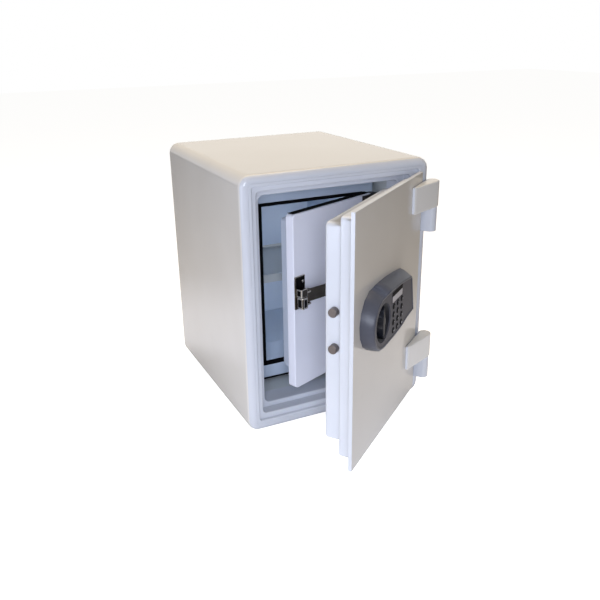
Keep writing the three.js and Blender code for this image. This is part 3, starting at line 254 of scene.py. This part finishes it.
def plated(name, tone, roughness, grain):
    """Zinc-plated or nickel-plated steel: a metal with soft smudges and a fine drawn grain, whose
    size is given in metres."""
    material, tree = blank(name)
    place = put(tree, "ShaderNodeTexCoord").outputs["Object"]
    smudge = put(tree, "ShaderNodeTexNoise", {"Scale": 1 / 0.012, "Detail": 3.0}, {"Vector": place})
    fine = put(tree, "ShaderNodeTexNoise", {"Scale": 1 / grain, "Detail": 2.0}, {"Vector": place})
    dull = put(tree, "ShaderNodeMapRange", {"To Min": roughness - 0.06, "To Max": roughness + 0.12},
               {"Value": smudge.outputs["Fac"]})
    bump = put(tree, "ShaderNodeBump", {"Strength": 0.15, "Distance": 0.00005}, {"Height": fine.outputs["Fac"]})
    metal = put(tree, "ShaderNodeBsdfPrincipled", {"Base Color": colour(tone), "Metallic": 1.0},
                {"Roughness": dull.outputs[0], "Normal": bump.outputs[0]})
    put(tree, "ShaderNodeOutputMaterial", links={"Surface": metal.outputs[0]})
    return material


# Zinc plate is a dull, even grey.
zinc = plated("zinc-plated mild steel", "#a3a19c", 0.34, 0.0012)
repaint("bolt_keeper", zinc)


def grainy(name, tone, second, size, roughness, height, ior=1.45):
    """Cast gypsum, rubber or moulded plastic, with a grain of the given size and height in metres."""
    material, tree = blank(name)
    place = put(tree, "ShaderNodeTexCoord").outputs["Object"]
    grain = put(tree, "ShaderNodeTexNoise", {"Scale": 1 / size, "Detail": 3.0}, {"Vector": place})
    tones = put(tree, "ShaderNodeMix", {6: colour(tone), 7: colour(second)}, {0: grain.outputs["Fac"]},
                data_type="RGBA")
    bump = put(tree, "ShaderNodeBump", {"Strength": 0.3, "Distance": height}, {"Height": grain.outputs["Fac"]})
    body = put(tree, "ShaderNodeBsdfPrincipled", {"Roughness": roughness, "IOR": ior},
               {"Base Color": tones.outputs[2], "Normal": bump.outputs[0]})
    put(tree, "ShaderNodeOutputMaterial", links={"Surface": body.outputs[0]})
    return material


# Gypsum is chalky and quite matt, with a coarse grain.
gypsum = grainy("cast gypsum fire fill", "#cfcabe", "#b9b3a4", 0.004, 0.95, 0.0004)
repaint("cabinet_insulation", gypsum)

# Main hinges. A knuckle block is welded to the cabinet's front corner, and the arm with the hidden pin hole is
# welded to the door. Both are sprayed the same white; the knuckle and the arm's faces that look left are painted
# cooler, as painted cool light.
cool_side_light_enamel = enamel("white enamel painted cool as side light", "#dfe3ea", "#d8dce3", 0.14)
for end in ("upper", "lower"):
    sprayed(f"hinge_knuckle_{end}", cool_front_light_enamel)
    sprayed(f"hinge_arm_{end}", case_enamel, second=cool_side_light_enamel,
            part=lambda face: face.normal.x < -0.05)
    repaint(f"hinge_pin_{end}", zinc)

# Media box. A second fire-proof box in folded sheet stands on a rubber pad in the cavity. It is
# enamelled in a satin blue-white, and a folded shelf rests on two side supports.
box_enamel = enamel("satin blue-white enamel on sheet steel", "#ccdaeb", "#c5d3e5", 0.36)
for node in ("media_case", "media_liner"):
    sprayed(node, box_enamel)
sprayed("media_shelf", liner_enamel)
for side in ("left", "right"):
    sprayed(f"shelf_support_{side}", box_enamel)
repaint("media_insulation", gypsum)

# Rubber of the media box. Four strips of black sponge are glued round its mouth with butt joints, and a black
# strip at the front edge of the pad under it is painted shadow of the gap under the box. Sponge is matt and nearly
# black.
black_rubber = grainy("black sponge rubber", "#060607", "#0d0d0f", 0.0015, 0.9, 0.0002, 1.15)
repaint("box_pad", black_rubber)


def boxed(bm, low, high, edge, sunk=(), rim=0.0016, depth=0.002):
    """A block between two corners in millimetres with rounded edges. The faces that look along the
    directions in sunk get a rim and a recess in the second material."""
    low, high = Vector(low) / 1000, Vector(high) / 1000
    size = Matrix.Diagonal((*(high - low), 1))
    made = bmesh.ops.create_cube(bm, size=1, matrix=Matrix.Translation((low + high) / 2) @ size)["verts"]
    edges = {e for v in made for e in v.link_edges}
    bmesh.ops.bevel(bm, geom=list(edges), offset=edge / 1000, segments=2, profile=0.5, affect="EDGES",
                    material=-1)
    for way in sunk:
        inside = [f for f in bm.faces if all(a - 1e-5 <= c <= b + 1e-5 for a, c, b in
                                             zip(low, f.calc_center_median(), high))]
        face = max(inside, key=lambda f: f.normal.dot(Vector(way)) * f.calc_area())
        bmesh.ops.inset_individual(bm, faces=[face], thickness=rim, use_even_offset=True)
        walls = bmesh.ops.inset_individual(bm, faces=[face], thickness=0.0003, depth=-depth)["faces"]
        for dark in walls + [face]:
            dark.material_index = 1


gasket_side, gasket_bottom, gasket_top = 120, 81.5, 436.5
gasket_front, gasket_back = -106.3, -100.3
side_band, bottom_band, top_band = 6.5, 9, 6
bm = bmesh.new()
for left, right, bottom, top in (
    (-gasket_side, gasket_side, gasket_bottom, gasket_bottom + bottom_band),
    (-gasket_side, gasket_side, gasket_top - top_band, gasket_top),
    (-gasket_side, -gasket_side + side_band, gasket_bottom, gasket_top),
    (gasket_side - side_band, gasket_side, gasket_bottom, gasket_top),
):
    boxed(bm, (left, gasket_front, bottom), (right, gasket_back, top), 0.9)
gasket = new_piece("media_gasket_strips", bm, "cabinet", black_rubber)
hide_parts("media_gasket")
# Painted shadow: a black strip in the gap under the media box, in front of its pad.
gap_shadow_low, gap_shadow_high = (-146, -99.5, 45.4), (146, -96, 48.8)
bm = bmesh.new()
boxed(bm, gap_shadow_low, gap_shadow_high, 0.4)
new_piece("box_gap_shadow_strip", bm, "cabinet", black_rubber)

# Fittings of the media box. Its hinges are brackets on the case and leaves on the door, pressed from
# dark lacquered steel, and the latch keeper is zinc-plated. Pan-head screws with a cross hold them.
repaint("latch_keeper", zinc)
dark_steel = plated("dark lacquered steel", "#3a3633", 0.4, 0.0015)
# Black that stands for the deep shadow in a cross or a hollow of these small castings.
recess_black = grainy("shadow-black recess", "#0b0b0c", "#101011", 0.002, 0.7, 0.00002, 1.15)


def screw(bm, x, y, z, radius, height=1.2):
    """A pan-head screw with a cross recess, its head's foot at (x, y, z) and its head towards -Y."""
    turn = Matrix.Translation((x / 1000, (y - height / 2) / 1000, z / 1000)) @ Matrix.Rotation(radians(90), 4, "X")
    made = bmesh.ops.create_cone(bm, cap_ends=True, segments=20, radius1=radius / 1000, radius2=radius / 1000,
                                 depth=height / 1000, matrix=turn)["verts"]
    top = {e for v in made for e in v.link_edges if all(w.co.y < (y - height + 0.01) / 1000 for w in e.verts)}
    bmesh.ops.bevel(bm, geom=list(top), offset=0.45 * height / 1000, segments=2, profile=0.5, affect="EDGES",
                    material=-1)
    for wide, tall in ((1.2, 0.3), (0.3, 1.2)):
        low = (x - wide * radius / 2, y - height - 0.06, z - tall * radius / 2)
        high = (x + wide * radius / 2, y - height + 0.3, z + tall * radius / 2)
        first = len(bm.faces)
        boxed(bm, low, high, 0.02)
        bm.faces.ensure_lookup_table()
        for face in bm.faces[first:]:
            face.material_index = 1


def screws(name, places, y, radius, body, material, height=1.2, turn=None):
    """Screws at the (x, z) places on the plane y, turned with the door they sit on."""
    bm = bmesh.new()
    for x, z in places:
        screw(bm, x, y, z, radius, height)
    if turn:
        bm.transform(turn)
    new_piece(name, bm, body, material).data.materials.append(recess_black)


# The media door is 22.5 degrees open about its own pin.
box_hinge = Matrix.Translation((0.131, -0.114, 0))
box_turn = box_hinge @ Matrix.Rotation(radians(22.5), 4, "Z") @ box_hinge.inverted()
bracket_face, leaf_face, keeper_face = -103.6, -129.6, -102.8
screws("bracket_screws", ((139.5, 407), (139.5, 63)), bracket_face, 2.4, "cabinet", zinc)
screws("leaf_screws", ((95, 428), (109, 428), (95, 86), (109, 86)), leaf_face, 2.4, "media_door", zinc,
       turn=box_turn)
screws("keeper_screws", ((-138, 263), (-138, 289)), keeper_face, 2.2, "cabinet", zinc)
for end in ("upper", "lower"):
    sprayed(f"media_hinge_bracket_{end}", dark_steel)
    sprayed(f"media_hinge_leaf_{end}", dark_steel)

# Main door. A steel skin is folded round its rim, and a casing in two steps closes its back over the cast fill.
# All of it has the same glossy white coat, painted darker and warmer on the front as painted shade, and cooler on
# the rim and the steps as painted cool light.
shaded_front_enamel = enamel("white enamel painted darker and warmer as shade", "#d6d1c9", "#cec9c1", 0.13)
hinge = Matrix.Translation((0.202, -0.235, 0))
door_turn = hinge @ Matrix.Rotation(radians(38.2), 4, "Z") @ hinge.inverted()
door_front = door_turn.to_3x3() @ Vector((0, -1, 0))
sprayed("door_skin", shaded_front_enamel, second=cool_side_light_enamel,
        part=lambda face: face.normal.dot(door_front) < 0.9)
sprayed("door_casing", cool_side_light_enamel)
repaint("door_insulation", gypsum)

# Boltwork. The knob's crank drives a zinc-plated carriage with two bolts through a guide block. The
# bolts are turned from plain steel that has darkened, and the actuator beside them is moulded black.
for node in ("boltwork_plate", "bolt_guide", "bolt_carriage", "knob_spindle"):
    repaint(node, zinc)
bolt_steel = plated("turned steel bolt", "#77706d", 0.34, 0.0008)
for end in ("upper", "lower"):
    sprayed(f"locking_bolt_{end}", bolt_steel)
black_case = grainy("black moulded case", "#1b1b1e", "#232327", 0.002, 0.5, 0.0001)
repaint("lock_actuator", black_case)

# Lock. A moulded grey bezel is screwed to the door from behind and carries a satin face plate. The
# dark knob turns in a well of the same dark plastic. The bezel shines softly, the plate hardly, so
# their IOR lies below that of a polished plastic.
housing_plastic = grainy("grey moulded housing", "#4a4c56", "#50525c", 0.02, 0.36, 0.00002, 1.38)
face_plastic = grainy("satin grey face plate", "#545359", "#4d4c53", 0.003, 0.5, 0.00004, 1.3)
dark_plastic = grainy("dark moulded knob plastic", "#13151c", "#181a22", 0.01, 0.32, 0.00002, 1.3)
knob_axis = door_turn @ Vector((-0.097, -0.24, 0.285))
across = door_front.cross(Vector((0, 0, 1)))
well_radius = 0.0375


def in_well(face):
    """Whether a face is a wall of the knob's well."""
    away = face.calc_center_median() - knob_axis
    from_axis = Vector((away.dot(across), away.z)).length
    return from_axis < well_radius and abs(face.normal.dot(door_front)) < 0.5


sprayed("lock_housing", housing_plastic, 55, second=dark_plastic, part=in_well)
sprayed("lock_face_plate", face_plastic)
sprayed("lock_knob", dark_plastic)

# Display. A lens is glued in the face plate and painted nearly black as the shadow that the bezel's rim casts into
# the recess, and the pale grey field of the liquid crystal shows in its lower half. Board and batteries sit behind
# it.
lens_shadow_black = grainy("acrylic lens painted black as shadow", "#08080b", "#0c0c10", 0.01, 0.5, 0.00001, 1.1)
lcd = grainy("grey liquid crystal window", "#b7b3b8", "#bdb9be", 0.01, 0.3, 0.00001, 1.3)
lens_low, lens_high = (-55.5, -246.7, 305), (0.5, -246.2, 325.5)
field_low, field_high = (-54.5, -246.85, 306), (-0.5, -246.5, 317.5)
bm = bmesh.new()
boxed(bm, lens_low, lens_high, 0.2)
bm.transform(door_turn)
lens = new_piece("display_lens", bm, "main_door", lens_shadow_black)
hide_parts("display_window")
bm = bmesh.new()
boxed(bm, field_low, field_high, 0.1)
bm.transform(door_turn)
new_piece("display_field", bm, "main_door", lcd)
board = grainy("solder-masked board", "#2a5739", "#2e5f3f", 0.004, 0.5, 0.00005)
repaint("keypad_board", board)
sleeve = grainy("blue shrink sleeve", "#2d4c80", "#34558c", 0.01, 0.4, 0.00003)
repaint("battery_pack", sleeve)

# Keys. Twelve matt caps moulded from black silicone stand through the face plate in rows of three.
# Their numerals and two marks are pad-printed in white, which looks pale grey on so small a print.
key_rubber = grainy("black moulded key rubber", "#09090b", "#0e0e11", 0.002, 0.5, 0.00002, 1.22)
white_ink = grainy("white pad-printed ink", "#c6c6ca", "#bdbdc1", 0.002, 0.5, 0.00001)
first_key_x, first_key_z, column_step, row_step = -45, 297.5, 22, 15.6
last_row_z = 250.7
key_top, print_size, print_half = -248.12, 6, 0.04


def numeral(text, x, z):
    """Raised ink in the shape of a numeral, centred at (x, z) on the key's top, in millimetres."""
    curve = bpy.data.curves.new(f"numeral_{text}", "FONT")
    curve.body = text
    curve.size = print_size / 1000
    curve.align_x = "CENTER"
    curve.align_y = "CENTER"
    curve.extrude = print_half / 1000
    shape = bpy.data.objects.new(f"numeral_{text}", curve)
    bm = bmesh.new()
    bm.from_mesh(bpy.data.meshes.new_from_object(shape))
    bpy.data.objects.remove(shape)
    place = Matrix.Translation((x / 1000, key_top / 1000, z / 1000))
    bm.transform(door_turn @ place @ Matrix.Rotation(radians(90), 4, "X"))
    new_piece(f"numeral_{text}", bm, body_of(f"key_{text}"), white_ink)


for place, key in enumerate("123456789"):
    row, column = divmod(place, 3)
    numeral(key, first_key_x + column_step * column, first_key_z - row_step * row)
numeral("0", first_key_x + column_step, last_row_z)
for key, x, wide, tall in (("clear", first_key_x, 5.5, 1.3), ("enter", first_key_x + 2 * column_step, 3.6, 3.6)):
    bm = bmesh.new()
    boxed(bm, (x - wide / 2, -248.2, last_row_z - tall / 2), (x + wide / 2, -247.9, last_row_z + tall / 2), 0.1)
    bm.transform(door_turn)
    new_piece(f"mark_{key}", bm, body_of(f"key_{key}"), white_ink)
for key in ("1", "2", "3", "4", "5", "6", "7", "8", "9", "clear", "0", "enter"):
    sprayed(f"key_{key}", key_rubber)

# Media box door. A folded panel with a raised plug behind it is filled like the walls, and a black seal lies
# between the two. Its satin coat is lilac-white in front, and on the plug it is painted pale blue as painted cool
# light on its side.
door_enamel = enamel("satin lilac-white enamel on sheet steel", "#ebedf8", "#e4e7f2", 0.34)
cool_lit_plug_enamel = enamel("satin white enamel painted pale blue as cool light", "#e0e8f6", "#dae3f2", 0.34)
sprayed("media_door_panel", door_enamel)
sprayed("media_door_plug", cool_lit_plug_enamel)
repaint("media_door_seal", black_rubber)

# Slam latch. A plate with a pivot block, a hooked block below it and two ribs is cast in zinc, nickel plated and
# screwed to the panel. Its broad faces are painted dark nickel as painted dark reflection, and its small front
# edge faces bright nickel as painted highlight.
nickel = plated("nickel-plated zinc casting", "#5d584f", 0.2, 0.002)
highlight_nickel = plated("nickel painted bright as highlight", "#d8d3c8", 0.16, 0.003)
sides_with_recess = ((-1, 0, 0), (0, -1, 0))
block_back = -128.8
highlight_edge_area, highlight_edge_front = 0.00003, -0.19
bm = bmesh.new()
boxed(bm, (-123, -129.1, 249), (-95, -126.1, 316), 0.8)
boxed(bm, (-121, -144, 276), (-103.5, block_back, 293), 1.6, sides_with_recess)
boxed(bm, (-120, -146, 252), (-104.5, block_back, 276), 2.4, sides_with_recess)
for z in (257, 282):
    boxed(bm, (-106, -143, z), (-92.5, block_back, z + 4), 1)
bm.transform(box_turn)
latch = new_piece("latch_finished", bm, "media_door", nickel)
latch.data.materials.append(recess_black)
latch.data.materials.append(highlight_nickel)
for face in latch.data.polygons:
    if face.material_index == 0 and face.area < highlight_edge_area and face.center.y < highlight_edge_front:
        face.material_index = 2
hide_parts("latch_body")
# The latch screws' heads take the bright nickel too, a painted highlight.
screws("latch_screws", ((-102, 304.5), (-99, 256)), -129.1, 3.2, "media_door", highlight_nickel, 1.6, box_turn)
sprayed("latch_lever", nickel)

# Strips of the media box door. Two bands of the same black sponge lie along the top of its panel and its plug;
# they stand for a smoke seal and also paint in the shadow that falls there under the frame.
bm = bmesh.new()
boxed(bm, (-118, -121.5, 437.9), (119, -106.9, 438.7), 0.3)
boxed(bm, (-99, -105, 424.2), (98, -96, 425.5), 0.3)
bm.transform(box_turn)
new_piece("media_door_strips", bm, "media_door", black_rubber)
